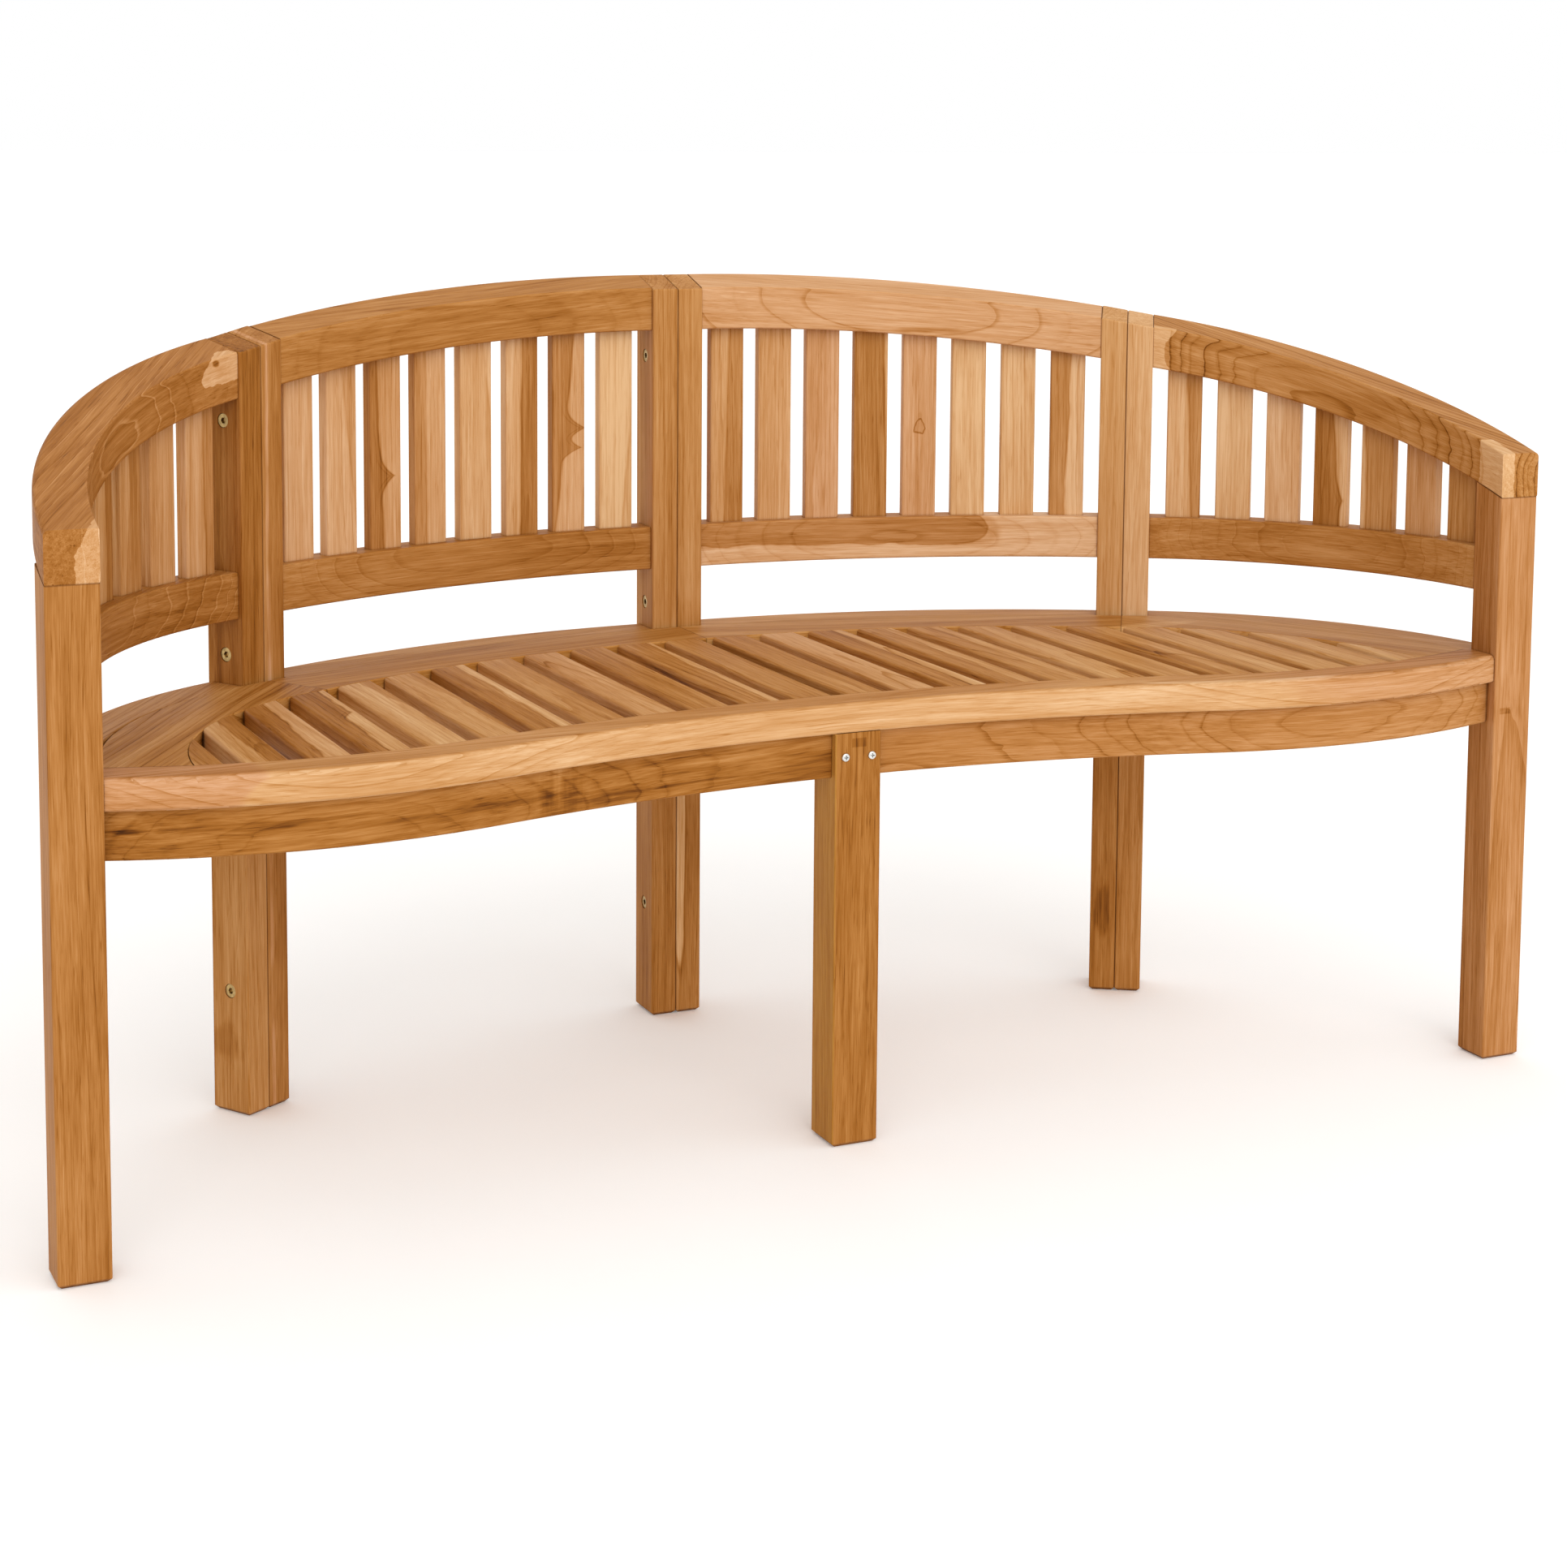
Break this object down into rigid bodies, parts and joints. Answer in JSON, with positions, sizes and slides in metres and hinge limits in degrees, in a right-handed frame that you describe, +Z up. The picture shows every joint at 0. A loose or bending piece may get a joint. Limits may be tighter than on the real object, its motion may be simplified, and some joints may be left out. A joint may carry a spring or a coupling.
{
  "type": "garden bench",
  "caption": "Curved hardwood garden bench: bowed slatted back falling to the ends as arms, waisted slatted seat, paired bolted back posts, front posts and a middle front leg.",
  "frame": {"origin": "on the floor, at the centre of the bench's outline box", "axes": "+X along the bench, to the right when facing its front, +Y toward the back, +Z up"},
  "size_m": [1.596, 0.59, 0.8486],
  "materials": {
    "teak_post": "oiled satin",
    "teak_rail": "oiled satin",
    "teak_slat": "oiled satin",
    "teak_seat": "oiled satin",
    "teak_dark": "oiled satin",
    "brass": "satin",
    "steel": "satin"
  },
  "bodies": {
    "root": {"back_slats_left_centre": "teak_slat", "back_slats_left_side": "teak_slat", "back_slats_right_centre": "teak_slat", "back_slats_right_side": "teak_slat", "front_apron_left": "teak_dark", "front_apron_right": "teak_dark", "ledger_screws": "steel", "leg_front_middle": "teak_post", "leg_screws": "steel", "lower_rail_left_centre": "teak_rail", "lower_rail_left_side": "teak_rail", "lower_rail_right_centre": "teak_rail", "lower_rail_right_side": "teak_rail", "post_bolts": "brass", "post_front_left": "teak_post", "post_front_right": "teak_post", "post_left_inner": "teak_post", "post_left_outer": "teak_post", "post_middle_left": "teak_post", "post_middle_right": "teak_post", "post_nuts": "brass", "post_right_inner": "teak_post", "post_right_outer": "teak_post", "seat_back_rail_left_centre": "teak_seat", "seat_back_rail_left_side": "teak_seat", "seat_back_rail_right_centre": "teak_seat", "seat_back_rail_right_side": "teak_seat", "seat_bearer_middle": "teak_dark", "seat_dowels": "teak_slat", "seat_front_rail": "teak_seat", "seat_ledger_left_centre": "teak_dark", "seat_ledger_left_side": "teak_dark", "seat_ledger_right_centre": "teak_dark", "seat_ledger_right_side": "teak_dark", "seat_level_rail_left_centre": "teak_rail", "seat_level_rail_left_side": "teak_rail", "seat_level_rail_right_centre": "teak_rail", "seat_level_rail_right_side": "teak_rail", "seat_slats_left": "teak_slat", "seat_slats_right": "teak_slat", "top_rail_left_centre": "teak_rail", "top_rail_left_side": "teak_rail", "top_rail_right_centre": "teak_rail", "top_rail_right_side": "teak_rail"}
  },
  "joints": []
}
